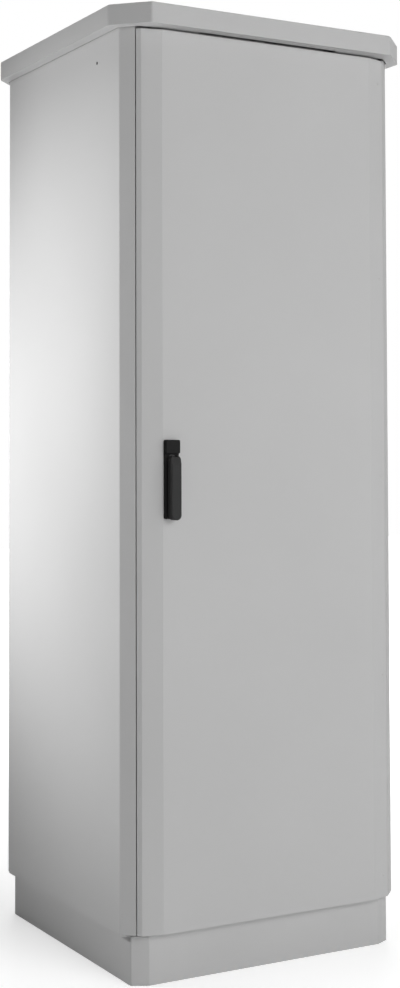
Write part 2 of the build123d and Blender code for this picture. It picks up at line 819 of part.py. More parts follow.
leaf_setback = hinge_axis[1] + knuckle_radius - hinge_sheet / 2
leaf_inset = hinge_axis[0] + leaf_reach
leaf_seat = web_setback - hinge_sheet / 2
with BuildPart() as hinge_leaves:
    for bottom in leaf_bottoms:
        with BuildSketch(Plane.XY.offset(bottom)):
            with BuildLine():
                FilletPolyline(plan(1, hinge_axis[0], leaf_setback), plan(1, leaf_inset, leaf_setback),
                               plan(1, leaf_inset, leaf_seat), plan(1, leaf_inset + leaf_foot, leaf_seat),
                               radius=arm_bend)
            trace(line_width=hinge_sheet)
            with Locations(axis_point):
                Circle(knuckle_radius)
                Circle(pin_radius + running_gap, mode=Mode.SUBTRACT)
        extrude(amount=leaf_height)
pieces["hinge_leaves"] = hinge_leaves.part

with BuildPart() as hinge_pins:
    for bottom in leaf_bottoms:
        with Locations((*axis_point, bottom)):
            Cylinder(knuckle_radius, pin_head_height, align=(Align.CENTER, Align.CENTER, Align.MAX))
            Cylinder(pin_radius, leaf_height + fit_gap + arm_height,
                     align=(Align.CENTER, Align.CENTER, Align.MIN))
pieces["hinge_pins"] = hinge_pins.part

# Countersunk screws through the bevel into the hinge arms
sink_depth = hinge_screw_head_radius - hinge_screw_radius
with BuildPart() as hinge_screws:
    with Locations(*[bevel_plane(level) for level in hinge_levels]):
        Cone(hinge_screw_radius, hinge_screw_head_radius, sink_depth,
             align=(Align.CENTER, Align.CENTER, Align.MAX))
        Cylinder(hinge_screw_radius, door_sheet + hinge_sheet,
                 align=(Align.CENTER, Align.CENTER, Align.MAX))
        Cylinder(hinge_screw_socket_radius, 2 * hinge_screw_socket_depth, mode=Mode.SUBTRACT)
pieces["hinge_screws"] = hinge_screws.part

# Handle dish: a flat plate with a raised block above the lever
dish_middle = handle_z + (dish_above_axis - dish_below_axis) / 2
block_height = dish_above_axis - block_above_axis
with BuildPart() as handle_dish:
    with BuildSketch(door_face):
        with Locations((handle_x, dish_middle)):
            RectangleRounded(dish_width, dish_above_axis + dish_below_axis, dish_corner)
    extrude(amount=dish_proud)
    with BuildSketch(door_face):
        with Locations((handle_x, handle_z + dish_above_axis - block_height / 2)):
            RectangleRounded(dish_width, block_height, dish_corner)
    extrude(amount=block_proud)
    front_rims = handle_dish.faces().filter_by(Axis.Y).sort_by(Axis.Y)[0].edges()
    fillet(front_rims, radius=dish_edge)
    with BuildSketch(door_face):
        with Locations((handle_x, handle_z)):
            Circle(hub_hole_radius)
    extrude(amount=dish_proud, mode=Mode.SUBTRACT)
    with BuildSketch(door_face):
        with Locations(*dish_screws):
            Circle(dish_screw_hole_radius)
    extrude(amount=dish_proud - dish_edge, mode=Mode.SUBTRACT)
pieces["handle_dish"] = handle_dish.part

with BuildPart() as dish_screw_set:
    with BuildSketch(Plane.XZ.offset(half_depth - door_sheet)):
        with Locations(*dish_screws):
            Circle(dish_screw_head_radius)
    extrude(amount=-dish_screw_head_height)
    with BuildSketch(Plane.XZ.offset(half_depth - door_sheet)):
        with Locations(*dish_screws):
            Circle(dish_screw_radius)
    extrude(amount=door_sheet + dish_proud - dish_edge - fit_gap)
pieces["dish_screws"] = dish_screw_set.part

# Handle hub: a round neck through the dish, a tongue for the lever and a square spindle behind
spindle_end = cam_setback + cam_sheet
lever_pin_y = -half_depth - lever_pin_proud
with BuildPart() as handle_hub:
    with BuildSketch(door_face.offset(dish_proud)):
        with Locations((handle_x, handle_z)):
            Circle(hub_radius)
    extrude(amount=-(dish_proud + hub_setback))
    with BuildSketch(door_face.offset(-hub_setback)):
        with Locations((handle_x, handle_z)):
            Rectangle(spindle_width, spindle_width)
    extrude(amount=-(spindle_end - hub_setback))
    with BuildSketch(Plane.YZ.offset(handle_x)):
        with Locations((lever_pin_y, handle_z)):
            Circle(tongue_radius)
        with BuildLine():
            tongue_root = -half_depth - dish_proud
            Polyline(
                (lever_pin_y, handle_z - tongue_radius), (tongue_root, handle_z - tongue_radius),
                (tongue_root, handle_z + tongue_radius), (lever_pin_y, handle_z + tongue_radius),
                close=True,
            )
        make_face()
        with Locations((lever_pin_y, handle_z)):
            Circle(lever_pin_radius + running_gap, mode=Mode.SUBTRACT)
    extrude(amount=tongue_width / 2, both=True)
    with BuildSketch(door_face.offset(-spindle_end)):
        with Locations((handle_x, handle_z)):
            Circle(cam_screw_radius + running_gap)
    extrude(amount=cam_screw_length, mode=Mode.SUBTRACT)
pieces["handle_hub"] = handle_hub.part

# Lever: hangs over the dish and is pinned to the hub's tongue, hollowed behind to fit over it
lever_end = handle_z - lever_length
lever_front = -half_depth - lever_proud
lever_back = -half_depth - lever_back_proud
lever_centre = handle_z + lever_width / 2 - (lever_length + lever_width / 2) / 2
with BuildPart() as lever:
    with BuildSketch(Plane.YZ.offset(handle_x)):
        with BuildLine():
            Polyline(
                (lever_pin_y - lever_top_radius, handle_z),
                (lever_front, handle_z - lever_shoulder),
                (lever_front, lever_end),
                (lever_back, lever_end),
                (lever_back, handle_z - lever_shoulder),
                (lever_pin_y + lever_top_radius, handle_z),
                close=True,
            )
        make_face()
        with Locations((lever_pin_y, handle_z)):
            Circle(lever_top_radius)
    extrude(amount=lever_width / 2, both=True)
    with BuildSketch(door_face):
        with Locations((handle_x, lever_centre)):
            SlotOverall(lever_length + lever_width / 2, lever_width, rotation=90)
    extrude(amount=lever_proud + overrun, mode=Mode.INTERSECT)
    fillet(lever.faces().filter_by(Axis.Y).sort_by(Axis.Y)[0].edges(), radius=lever_edge)
    with BuildSketch(Plane.YZ.offset(handle_x)):
        with BuildLine():
            slot_front = lever_pin_y - tongue_radius - lever_slot_gap
            slot_foot = handle_z - tongue_radius - lever_slot_gap
            Polyline(
                (slot_front, slot_foot), (-half_depth, slot_foot),
                (-half_depth, handle_z + lever_width), (slot_front, handle_z + lever_width),
                close=True,
            )
        make_face()
    extrude(amount=tongue_width / 2 + lever_slot_gap, both=True, mode=Mode.SUBTRACT)
    with BuildSketch(Plane.YZ.offset(handle_x)):
        with Locations((lever_pin_y, handle_z)):
            Circle(lever_pin_radius + running_gap)
    extrude(amount=lever_width, both=True, mode=Mode.SUBTRACT)
pieces["lever"] = lever.part

with BuildPart() as lever_pin:
    with BuildSketch(Plane.YZ.offset(handle_x)):
        with Locations((lever_pin_y, handle_z)):
            Circle(lever_pin_radius)
    extrude(amount=lever_width / 2 - fit_gap, both=True)
pieces["lever_pin"] = lever_pin.part

# Lock cam on the spindle, with a driving pin for each rod, and the screw that holds it
pin_offset = cam_pin_orbit / diagonal
with BuildPart() as lock_cam:
    with BuildSketch(door_face.offset(-cam_setback)):
        with Locations((handle_x, handle_z)):
            Circle(cam_radius)
            Rectangle(spindle_width + 2 * spindle_gap, spindle_width + 2 * spindle_gap, mode=Mode.SUBTRACT)
    extrude(amount=-cam_sheet)
    with BuildSketch(door_face.offset(-cam_setback - cam_sheet)):
        with Locations((handle_x - pin_offset, handle_z + pin_offset),
                       (handle_x + pin_offset, handle_z - pin_offset)):
            Circle(cam_pin_radius)
    extrude(amount=-(rod_setback + rod_sheet - cam_setback - cam_sheet))
pieces["lock_cam"] = lock_cam.part

with BuildPart() as cam_screw:
    with BuildSketch(door_face.offset(-spindle_end)):
        with Locations((handle_x, handle_z)):
            Circle(cam_screw_head_radius)
    extrude(amount=-cam_screw_head_height)
    with BuildSketch(door_face.offset(-spindle_end)):
        with Locations((handle_x, handle_z)):
            Circle(cam_screw_radius)
    extrude(amount=cam_screw_length - fit_gap)
pieces["cam_screw"] = cam_screw.part

# Locking rods: flat bars beside the cam, each with an open slot for its pin and a narrow tip
upper_tip = top_lip - frame_sheet - rod_tip_gap
lower_tip = bottom_lip + frame_sheet + rod_tip_gap
rod_middle = rod_side_gap + rod_width / 2
tip_near = rod_middle - rod_tip_width / 2
tip_far = rod_middle + rod_tip_width / 2
rod_far = rod_side_gap + rod_width
slot_far = cam_pin_orbit + cam_pin_radius + rod_slot_gap


def lock_rod(hand, tip_level):
    """Rod on one side of the cam; hand is -1 for the rod that runs up on the left, 1 for down."""
    def at(out, up):
        return (handle_x + hand * out, handle_z - hand * up)

    tip = hand * (handle_z - tip_level)
    neck = tip - rod_tip_length
    tail = pin_offset - cam_pin_radius - rod_slot_gap - rod_tail
    with BuildPart() as rod:
        with BuildSketch(door_face.offset(-rod_setback)):
            with BuildLine():
                Polyline(
                    at(rod_side_gap, tail), at(rod_far, tail), at(rod_far, neck),
                    at(tip_far, neck + (rod_far - tip_far)), at(tip_far, tip), at(tip_near, tip),
                    at(tip_near, neck + (tip_near - rod_side_gap)), at(rod_side_gap, neck),
                    close=True,
                )
            make_face()
            with BuildLine():
                slot_low = pin_offset - cam_pin_radius - rod_slot_gap
                slot_high = pin_offset + cam_pin_radius + rod_slot_gap
                Polyline(at(0, slot_low), at(slot_far, slot_low), at(slot_far, slot_high), at(0, slot_high),
                         close=True)
            make_face(mode=Mode.SUBTRACT)
        extrude(amount=-rod_sheet)
    return rod.part


pieces["upper_rod"] = lock_rod(-1, upper_tip)
pieces["lower_rod"] = lock_rod(1, lower_tip)

# Rod guides: moulded hooks on the inside of the door that the rods slide through
window_back = rod_setback + rod_sheet + guide_gap
window_front = rod_setback - guide_gap
window_near = rod_side_gap - guide_gap
window_far = rod_far + guide_gap
with BuildPart() as rod_guides:
    for hand, tip_level in ((-1, upper_tip), (1, lower_tip)):
        def guide_at(out, setback):
            return (handle_x + hand * out, setback - half_depth)

        for share in guide_heights_share:
            level = handle_z + share * (tip_level - handle_z)
            with BuildSketch(Plane.XY.offset(level - guide_height / 2)):
                with BuildLine():
                    Polyline(
                        guide_at(window_near - guide_foot, door_sheet), guide_at(window_near, door_sheet),
                        guide_at(window_near, window_front - guide_floor),
                        guide_at(window_far - 2 * guide_gap, window_front - guide_floor),
                        guide_at(window_far - 2 * guide_gap, window_front),
                        guide_at(window_near, window_front), guide_at(window_near, window_back),
                        guide_at(window_far, window_back), guide_at(window_far, window_front),
                        guide_at(window_far + guide_wall, window_front),
                        guide_at(window_far + guide_wall, window_back + guide_roof),
                        guide_at(window_near - guide_foot, window_back + guide_roof),
                        close=True,
                    )
                make_face()
            extrude(amount=guide_height)
pieces["rod_guides"] = rod_guides.part

# Keepers under the frame's lips: channels that the rod tips run into, open towards the door
for keeper_name, hand, lip_face in (
    ("top", -1, top_lip - frame_sheet),
    ("bottom", 1, bottom_lip + frame_sheet),
):
    channel_near = tip_near - keeper_side_gap
    channel_far = tip_far + keeper_side_gap

    def keeper_at(out, setback):
        return (handle_x + hand * out, setback - half_depth)

    with BuildPart() as keeper:
        with BuildSketch(Plane.XY.offset(lip_face)):
            with BuildLine():
                Polyline(
                    keeper_at(channel_near, keeper_front_setback),
                    keeper_at(channel_near, keeper_back_setback),
                    keeper_at(channel_far, keeper_back_setback),
                    keeper_at(channel_far, keeper_front_setback),
                )
                offset(amount=keeper_sheet, side=Side.LEFT if hand > 0 else Side.RIGHT,
                       kind=Kind.INTERSECTION)
            make_face()
        extrude(amount=hand * keeper_height)
        with BuildSketch(Plane.XY.offset(lip_face)):
            with BuildLine():
                Polyline(
                    keeper_at(channel_near - keeper_sheet, keeper_back_setback),
                    keeper_at(channel_far + keeper_sheet, keeper_back_setback),
                    keeper_at(channel_far + keeper_sheet, web_setback),
                    keeper_at(channel_near - keeper_sheet, web_setback),
                    close=True,
                )
            make_face()
        extrude(amount=hand * keeper_sheet)
    pieces[f"keeper_{keeper_name}"] = keeper.part

os.makedirs("parts", exist_ok=True)
for name, piece in pieces.items():
    piece.label = name
    export_step(piece, f"parts/{name}.step")
print(len(pieces), "pieces written")
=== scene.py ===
import json
from math import cos, radians, sin, tan

import bmesh
import bpy
from mathutils import Matrix, Vector


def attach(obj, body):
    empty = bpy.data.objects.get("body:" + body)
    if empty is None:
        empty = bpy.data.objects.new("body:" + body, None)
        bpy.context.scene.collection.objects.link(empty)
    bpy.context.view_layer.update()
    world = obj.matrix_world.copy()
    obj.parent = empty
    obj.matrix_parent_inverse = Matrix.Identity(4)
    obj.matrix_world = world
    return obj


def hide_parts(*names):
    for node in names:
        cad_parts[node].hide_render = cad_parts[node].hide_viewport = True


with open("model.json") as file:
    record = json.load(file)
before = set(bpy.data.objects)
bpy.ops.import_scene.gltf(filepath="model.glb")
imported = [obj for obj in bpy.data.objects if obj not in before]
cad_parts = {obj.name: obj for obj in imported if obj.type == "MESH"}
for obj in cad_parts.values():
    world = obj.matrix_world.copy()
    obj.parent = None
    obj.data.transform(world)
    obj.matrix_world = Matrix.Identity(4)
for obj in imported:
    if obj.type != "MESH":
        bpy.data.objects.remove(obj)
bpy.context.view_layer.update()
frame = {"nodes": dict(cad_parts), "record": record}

# Roadside cabinet in grey powder coat. The folded sheets, rails, hinges and lock come from the frame and
# keep their shapes. Screws and bolts are made here, seated where the frame's own plain ones are.
# Metres, with X to the right, Y to the back and Z up.

MM = 0.001
NODES = frame["nodes"]
WHITE = (1, 1, 1, 1)

# Camera: height of the photograph in pixels, focal length and optical centre in the same pixels
IMAGE_HEIGHT = 988
FOCAL_PIXELS = 1646.5
OPTICAL_CENTRE_Y = 380.0
SENSOR = 36.0
CAMERA_PLACE = Vector((-1.6432, -2.9530, 0.9656))
CAMERA_YAW = radians(29.308)
CAMERA_PITCH = radians(2.411)
CAMERA_ROLL = radians(-0.167)

# Finishes: patterns in repeats to the metre, tones of grey and roughness from low to high
COAT = {"drift": 3.0, "pebbles": 900.0, "tones": (0.475, 0.49), "roughness": (0.56, 0.64), "gloss": 0.2,
        "bump": 0.08, "height": 0.15 * MM}
GALVANISED = {"spangle": 90.0, "ripple": 400.0, "tones": (0.4, 0.46), "roughness": (0.56, 0.64),
              "metal": 0.75, "bump": 0.05, "height": 0.1 * MM}
PLATING = {"marks": 260.0, "stretch": (1, 1, 0.15), "tones": (0.41, 0.59), "roughness": (0.34, 0.48),
           "metal": 1.0, "bump": 0.06, "height": 0.05 * MM}
OXIDE = {"rub": 700.0, "tones": (0.02, 0.06), "roughness": (0.35, 0.55), "metal": 0.7}
PLASTIC = {"grain": 1400.0, "roughness": (0.6, 0.72), "gloss": 0.06, "bump": 0.15, "height": 0.1 * MM}
LEVER_TONES = (0.033, 0.041)
# Painted shade: the dish is darker than the lever to stand for the shade in its recess
DISH_SHADE_TONES = (0.012, 0.016)
FOAM = {"pores": 900.0, "tones": (0.012, 0.035), "roughness": (0.75, 0.95), "bump": 0.4, "height": 0.3 * MM}
# Layers of noise from plain to fine, and the ends between which most of a pattern's values lie
PLAIN = 2.0
FINE = 3.0
FINEST = 4.0
MIDDLE_VALUES = (0.3, 0.7)
ALL_VALUES = (0.0, 1.0)

# Seats of the fasteners: how close two points count as one, how deep the outer face counts, the digits by
# which the seats are put in order, and the door's bevel in plan
WELD = 0.001 * MM
FACE_DEPTH = 0.02 * MM
ORDER_DIGITS = 4
BEVEL_RUN = 38 * MM
BEVEL_SETBACK = 11 * MM

# Button-head screws of the side and rear panels
PANEL_SCREW = {"Head Radius": 3.0 * MM, "Head Height": 1.2 * MM, "Socket Radius": 1.4 * MM,
               "Socket Depth": 0.8 * MM, "Shank Radius": 2.4 * MM, "Shank Length": 9.0 * MM,
               "Thread Pitch": 0.8 * MM}
# Countersunk screws through the door into the hinge arms
HINGE_SCREW = {"Head Radius": 3.1 * MM, "Head Height": 1.6 * MM, "Socket Radius": 1.3 * MM,
               "Socket Depth": 1.0 * MM, "Shank Radius": 1.5 * MM, "Shank Length": 3.4 * MM,
               "Thread Pitch": 0.5 * MM}
# Pan-head screws that hold the handle's dish, and the wide one that holds the lock cam
DISH_SCREW = {"Head Radius": 4.5 * MM, "Head Height": 3.0 * MM, "Recess Width": 1.2 * MM,
              "Recess Span": 5.4 * MM, "Recess Depth": 1.6 * MM, "Shank Radius": 2.4 * MM,
              "Shank Length": 5.7 * MM, "Thread Pitch": 0.8 * MM}
CAM_SCREW = {"Head Radius": 6.0 * MM, "Head Height": 2.5 * MM, "Recess Width": 1.4 * MM,
             "Recess Span": 6.4 * MM, "Recess Depth": 1.4 * MM, "Shank Radius": 2.4 * MM,
             "Shank Length": 5.7 * MM, "Thread Pitch": 0.8 * MM}
# Hexagon bolts with sealing washers on the roof, and with nuts in the plinth
ROOF_BOLT = {"Head Radius": 9.0 * MM, "Head Height": 5.0 * MM, "Washer Radius": 13.0 * MM,
             "Washer Height": 2.0 * MM, "Shank Radius": 4.0 * MM, "Shank Length": 31.0 * MM,
             "Thread Pitch": 1.25 * MM}
BODY_BOLT = {"Head Radius": 8.0 * MM, "Head Height": 6.0 * MM, "Nut Height": 8.0 * MM, "Grip": 4.3 * MM,
             "Shank Radius": 5.0 * MM, "Shank Length": 12.3 * MM, "Thread Pitch": 1.5 * MM}

# Sides of round, hexagon and threaded shapes
ROUND_SIDES = 32
HEX_SIDES = 6
THREAD_SIDES = 16
RIDGE_SIDES = 4
# Thread: its depth as a share of the pitch, and its ridge as a share of that depth
THREAD_DEPTH_SHARE = 0.42
RIDGE_SHARE = 0.75
# Chamfers: the flat face as a share of the head, and how steeply the edge falls away from it
HEX_FACE_SHARE = 0.83
HEX_CHAMFER_SLOPE = tan(radians(60))
PAN_FACE_SHARE = 0.76
PAN_RIM_SLOPE = 1.2
# Cutters: how far a taper runs past its block, the height of one centred on the face in depths of its cut,
# the cross recess's second bar a little shallower than its first, and the width of the one that halves a ball
SPARE_SHARE = 0.2
CENTRED_CUT = 2.0
SECOND_BAR_SHARE = 0.9
HALVING_SHARE = 2.0
WASHER_TOP_SHARE = 0.8
SMOOTH_ANGLE = radians(32)

# Light: soft boxes for the front, the right and the back, and spots for the left side, for the canopy's
# underside and for the roof
FRONT_AIM = (0.0, -0.3, 0.95)
SOFT_BOXES = {
    "front_box": {"place": (0.1, -3.2, 1.5), "aim": FRONT_AIM, "size": (1.6, 2.4), "power": 47.5},
    "right_box": {"place": (1.6, -3.3, 1.3), "aim": FRONT_AIM, "size": (2.0, 2.6), "power": 30.5},
    "rear_box": {"place": (2.2, 3.6, 1.6), "aim": (0.0, 0.0, 0.9), "size": (2.4, 2.4), "power": 80.0},
}
SOFT_SPOTS = {
    "side_spot": {"place": (-1.9, 1.0, 1.2), "aim": (-0.3, -0.15, 1.0), "radius": 0.25,
                  "cone": radians(60), "blend": 0.8, "power": 175.0},
    "side_spot_near": {"place": (-1.5, 0.3, 1.0), "aim": (-0.3, 0.25, 0.95), "radius": 0.2,
                       "cone": radians(50), "blend": 1.0, "power": 18.0},
    "canopy_spot": {"place": (-0.75, -0.1, 0.1), "aim": (-0.32, -0.06, 1.74), "radius": 0.1,
                    "cone": radians(26), "blend": 0.8, "power": 27.0},
    "roof_spot": {"place": (0.0, 0.0, 4.6), "aim": (0.0, 0.01, 1.8), "radius": 0.5,
                  "cone": radians(24), "blend": 0.5, "power": 230.0},
}
ROOM_LEVEL = 0.12

# Floor: half its width, its own grey, and the whiteness that it shows near the cabinet and from further out
FLOOR_HALF = 12.0
FLOOR_GREY = 0.8
FLOOR_ROUGHNESS = 0.9
FLOOR_WHITENESS = (0.5, 1.0)
FLOOR_DISTANCES = (0.6, 2.2)


# Nodes of materials and of fasteners
def add(tree, kind, inputs=None, **settings):
    """A node with its settings made and its inputs set, or joined where the value is a socket."""
    made = tree.nodes.new(kind)
    for name, value in settings.items():
        setattr(made, name, value)
    for name, value in (inputs or {}).items():
        if isinstance(value, bpy.types.NodeSocket):
            tree.links.new(value, made.inputs[name])
        else:
            made.inputs[name].default_value = value
    return made


def reckon(tree, operation, *values):
    """One step of arithmetic on sockets and numbers."""
    return add(tree, "ShaderNodeMath", dict(enumerate(values)), operation=operation).outputs["Value"]


def spread(tree, source, limits, ends):
    """A number that runs between two limits as the source runs between two ends."""
    low, high = limits
    start, end = ends
    made = add(tree, "ShaderNodeMapRange", {"Value": source, "From Min": start, "From Max": end,
                                            "To Min": low, "To Max": high})
    return made.outputs["Result"]


# Finishes
def new_material(name):
    """A material with its tree and its surface shader."""
    material = bpy.data.materials.new(name)
    material.use_nodes = True
    tree = material.node_tree
    return material, tree, tree.nodes["Principled BSDF"]


def object_noise(tree, scale, detail=PLAIN, stretch=(1, 1, 1)):
    """Noise on the piece's own coordinates, drawn out along an axis by a small stretch."""
    place = add(tree, "ShaderNodeTexCoord")
    mapping = add(tree, "ShaderNodeMapping", {"Vector": place.outputs["Object"], "Scale": stretch})
    noise = add(tree, "ShaderNodeTexNoise",
                {"Vector": mapping.outputs["Vector"], "Scale": scale, "Detail": detail})
    return noise.outputs["Fac"]


def object_cells(tree, scale):
    """Cells on the piece's own coordinates: their random colour and the distance to their middle."""
    place = add(tree, "ShaderNodeTexCoord")
    return add(tree, "ShaderNodeTexVoronoi", {"Vector": place.outputs["Object"], "Scale": scale}).outputs


def coloured(tree, shader, source, tones):
    """Colour the surface in a grey between two tones, chosen by the source."""
    ramp = add(tree, "ShaderNodeValToRGB", {"Fac": source})
    for element, position, tone in zip(ramp.color_ramp.elements, MIDDLE_VALUES, tones):
        element.position = position
        element.color = (tone, tone, tone, 1)
    tree.links.new(ramp.outputs["Color"], shader.inputs["Base Color"])


def roughened(tree, shader, source, finish, ends=MIDDLE_VALUES):
    """Give the surface a roughness within the finish's limits, chosen by the source."""
    tree.links.new(spread(tree, source, finish["roughness"], ends), shader.inputs["Roughness"])


def bumped(tree, shader, source, finish):
    """Raise the surface in the source's pattern."""
    made = add(tree, "ShaderNodeBump",
               {"Height": source, "Strength": finish["bump"], "Distance": finish["height"]})
    tree.links.new(made.outputs["Normal"], shader.inputs["Normal"])


def grey_powder_coat():
    """Light grey satin coat with a fine pebbled skin and a faint drift of tone."""
    material, tree, shader = new_material("grey_powder_coat")
    coloured(tree, shader, object_noise(tree, COAT["drift"]), COAT["tones"])
    skin = object_noise(tree, COAT["pebbles"], FINE)
    roughened(tree, shader, skin, COAT)
    shader.inputs["Specular IOR Level"].default_value = COAT["gloss"]
    bumped(tree, shader, skin, COAT)
    return material


def galvanised_sheet():
    """Zinc-coated sheet with a spangle of crystal patches, each a little lighter or darker."""
    material, tree, shader = new_material("galvanised_sheet")
    cells = object_cells(tree, GALVANISED["spangle"])
    patch = add(tree, "ShaderNodeSeparateColor", {"Color": cells["Color"]}).outputs
    coloured(tree, shader, patch["Red"], GALVANISED["tones"])
    roughened(tree, shader, patch["Green"], GALVANISED, ALL_VALUES)
    shader.inputs["Metallic"].default_value = GALVANISED["metal"]
    bumped(tree, shader, object_noise(tree, GALVANISED["ripple"]), GALVANISED)
    return material


def zinc_plate():
    """Zinc plating with fine tool marks."""
    material, tree, shader = new_material("zinc_plate")
    marks = object_noise(tree, PLATING["marks"], FINEST, PLATING["stretch"])
    coloured(tree, shader, marks, PLATING["tones"])
    roughened(tree, shader, marks, PLATING)
    shader.inputs["Metallic"].default_value = PLATING["metal"]
    bumped(tree, shader, marks, PLATING)
    return material


def black_oxide():
    """Blackened steel, brighter where the tool has rubbed it."""
    material, tree, shader = new_material("black_oxide")
    rub = object_noise(tree, OXIDE["rub"], FINE)
    coloured(tree, shader, rub, OXIDE["tones"])
    roughened(tree, shader, rub, OXIDE)
    shader.inputs["Metallic"].default_value = OXIDE["metal"]
    return material


def black_plastic(name, tones):
    """Moulded plastic with a fine matte grain, between two dark greys."""
    material, tree, shader = new_material(name)
    grain = object_noise(tree, PLASTIC["grain"])
    coloured(tree, shader, grain, tones)
    roughened(tree, shader, grain, PLASTIC)
    shader.inputs["Specular IOR Level"].default_value = PLASTIC["gloss"]
    bumped(tree, shader, grain, PLASTIC)
    return material


def foam_rubber():
    """Closed-cell foam with small pores."""
    material, tree, shader = new_material("foam_rubber")
    pores = object_cells(tree, FOAM["pores"])["Distance"]
    coloured(tree, shader, pores, FOAM["tones"])
    roughened(tree, shader, pores, FOAM)
    bumped(tree, shader, pores, FOAM)
    return material


FINISH = {
    "grey_paint": grey_powder_coat(),
    "galvanised_sheet": galvanised_sheet(),
    "zinc_plated_steel": zinc_plate(),
    "dark_screw": black_oxide(),
    "black_plastic": black_plastic("black_plastic", LEVER_TONES),
    "foam_rubber": foam_rubber(),
}
SLOT = {subpart["node"]: subpart["material_slot"] for subpart in frame["record"]["subparts"]}
for node_name, slot_name in SLOT.items():
    mesh = NODES[node_name].data
    mesh.materials.clear()
    mesh.materials.append(FINISH[slot_name])
# The dish is coloured a deeper black than the lever: painted shade for the shadowed recess round the lever
NODES["handle_dish"].data.materials[0] = black_plastic("dish_plastic_painted_shade", DISH_SHADE_TONES)


# Shapes of the fasteners, each with the middle of its outer face at zero and its shank pointing down
def moved(tree, mesh, height):
    """The mesh, raised by a height."""
    place = add(tree, "ShaderNodeCombineXYZ", {"Z": height})
    return add(tree, "GeometryNodeTransform",
               {"Geometry": mesh, "Translation": place.outputs["Vector"]}).outputs["Geometry"]


def post(tree, radius, height, top, sides):
    """Upright cylinder or prism with its upper end at top."""
    shape = add(tree, "GeometryNodeMeshCylinder", {"Vertices": sides, "Radius": radius, "Depth": height})
    return moved(tree, shape.outputs["Mesh"], reckon(tree, "MULTIPLY_ADD", height, -0.5, top))


def taper(tree, foot_radius, top_radius, height, top):
    """Round taper with its upper end at top."""
    shape = add(tree, "GeometryNodeMeshCone", {"Vertices": ROUND_SIDES, "Radius Top": top_radius,
                                               "Radius Bottom": foot_radius, "Depth": height})
    return moved(tree, shape.outputs["Mesh"], reckon(tree, "SUBTRACT", top, height))


def cut(tree, mesh, tool):
    """The mesh without what the tool takes away."""
    return add(tree, "GeometryNodeMeshBoolean", {"Mesh 1": mesh, "Mesh 2": tool},
               operation="DIFFERENCE").outputs["Mesh"]


def common(tree, mesh, tool):
    """What lies within both the mesh and the tool."""
    made = add(tree, "GeometryNodeMeshBoolean", {"Mesh 2": mesh}, operation="INTERSECT")
    tree.links.new(tool, made.inputs["Mesh 2"])
    return made.outputs["Mesh"]


def joined(tree, *meshes):
    """The meshes side by side as one."""
    made = add(tree, "GeometryNodeJoinGeometry")
    for mesh in meshes:
        tree.links.new(mesh, made.inputs["Geometry"])
    return made.outputs["Geometry"]


def under_head(tree, size):
    """Level of the head's underside."""
    return reckon(tree, "MULTIPLY", size["Head Height"], -1.0)


def threaded_shank(tree, size, top):
    """Shank with a screw thread wound on it, its crests at the shank's radius."""
    depth = reckon(tree, "MULTIPLY", size["Thread Pitch"], THREAD_DEPTH_SHARE)
    core_radius = reckon(tree, "SUBTRACT", size["Shank Radius"], depth)
    core = post(tree, core_radius, size["Shank Length"], top, ROUND_SIDES)
    run = reckon(tree, "SUBTRACT", size["Shank Length"], size["Thread Pitch"])
    path_radius = reckon(tree, "MULTIPLY_ADD", depth, -RIDGE_SHARE, size["Shank Radius"])
    winding = add(tree, "GeometryNodeCurveSpiral", {
        "Resolution": THREAD_SIDES, "Rotations": reckon(tree, "DIVIDE", run, size["Thread Pitch"]),
        "Start Radius": path_radius, "End Radius": path_radius, "Height": run})
    ridge = add(tree, "GeometryNodeCurvePrimitiveCircle",
                {"Resolution": RIDGE_SIDES, "Radius": reckon(tree, "MULTIPLY", depth, RIDGE_SHARE)})
    thread = add(tree, "GeometryNodeCurveToMesh", {"Curve": winding.outputs["Curve"],
                                                   "Profile Curve": ridge.outputs["Curve"],
                                                   "Fill Caps": True})
    foot = reckon(tree, "SUBTRACT", top, size["Shank Length"])
    foot = reckon(tree, "MULTIPLY_ADD", size["Thread Pitch"], 0.5, foot)
    return joined(tree, core, moved(tree, thread.outputs["Mesh"], foot))


def hex_socket(tree, size):
    """Cutter for a hexagon socket in the outer face."""
    depth = reckon(tree, "MULTIPLY", size["Socket Depth"], CENTRED_CUT)
    return post(tree, size["Socket Radius"], depth, size["Socket Depth"], HEX_SIDES)


def button_screw(tree, size):
    """Low domed head with a hexagon socket."""
    squash = add(tree, "ShaderNodeCombineXYZ", {
        "X": 1.0, "Y": 1.0, "Z": reckon(tree, "DIVIDE", size["Head Height"], size["Head Radius"])})
    ball = add(tree, "GeometryNodeMeshUVSphere",
               {"Segments": ROUND_SIDES, "Rings": ROUND_SIDES // 2, "Radius": size["Head Radius"]})
    dome = add(tree, "GeometryNodeTransform",
               {"Geometry": ball.outputs["Mesh"], "Scale": squash.outputs["Vector"]}).outputs["Geometry"]
    upper_radius = reckon(tree, "MULTIPLY", size["Head Radius"], HALVING_SHARE)
    upper = post(tree, upper_radius, size["Head Height"], size["Head Height"], HEX_SIDES)
    seat_level = under_head(tree, size)
    head = cut(tree, moved(tree, common(tree, dome, upper), seat_level), hex_socket(tree, size))
    return joined(tree, head, threaded_shank(tree, size, seat_level))


def countersunk_screw(tree, size):
    """Flush head that tapers to the shank, with a hexagon socket."""
    head = taper(tree, size["Shank Radius"], size["Head Radius"], size["Head Height"], 0.0)
    return joined(tree, cut(tree, head, hex_socket(tree, size)),
                  threaded_shank(tree, size, under_head(tree, size)))


